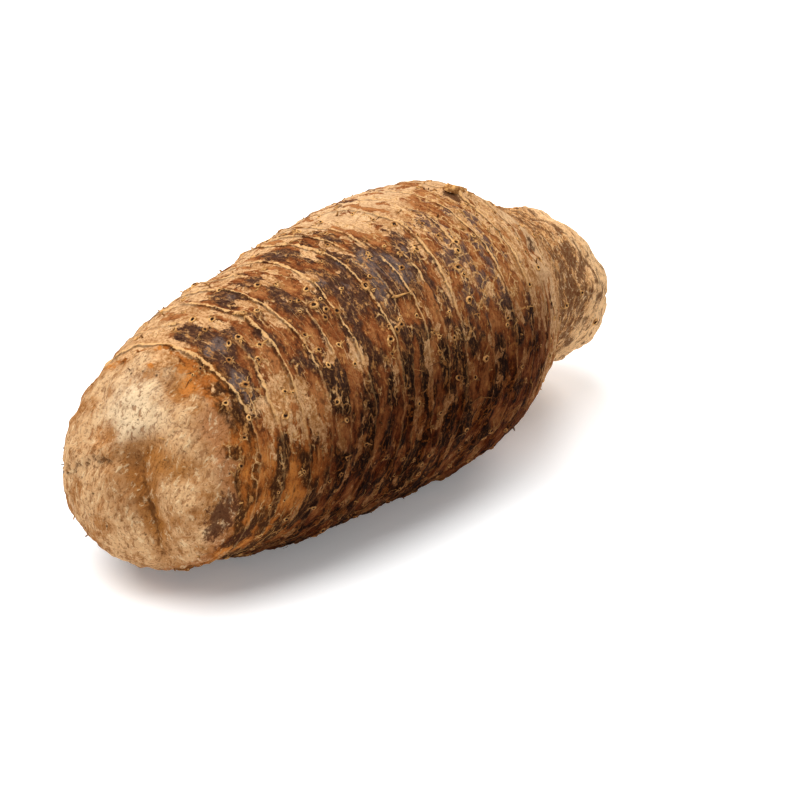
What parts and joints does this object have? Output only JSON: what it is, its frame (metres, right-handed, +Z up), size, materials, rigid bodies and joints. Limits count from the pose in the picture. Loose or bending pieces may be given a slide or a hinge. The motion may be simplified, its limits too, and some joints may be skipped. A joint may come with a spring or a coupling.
{
  "type": "malanga corm",
  "caption": "Whole raw malanga corm lying on its side, with a blunt lobed base end, leaf-scar rings round a stout brown body, and a narrower rounded crown.",
  "frame": {"origin": "centre of the bounding box's underside, on the surface that the corm rests on", "axes": "+X along the corm from its blunt base end to its crown, +Z up, +Y to the left of +X"},
  "size_m": [0.226, 0.1016, 0.0948],
  "materials": {
    "corm_skin": "rough corky bark-like skin, brown with tan and rust patches and thin pale rings"
  },
  "bodies": {
    "root": {"corm": "corm_skin"}
  },
  "joints": []
}
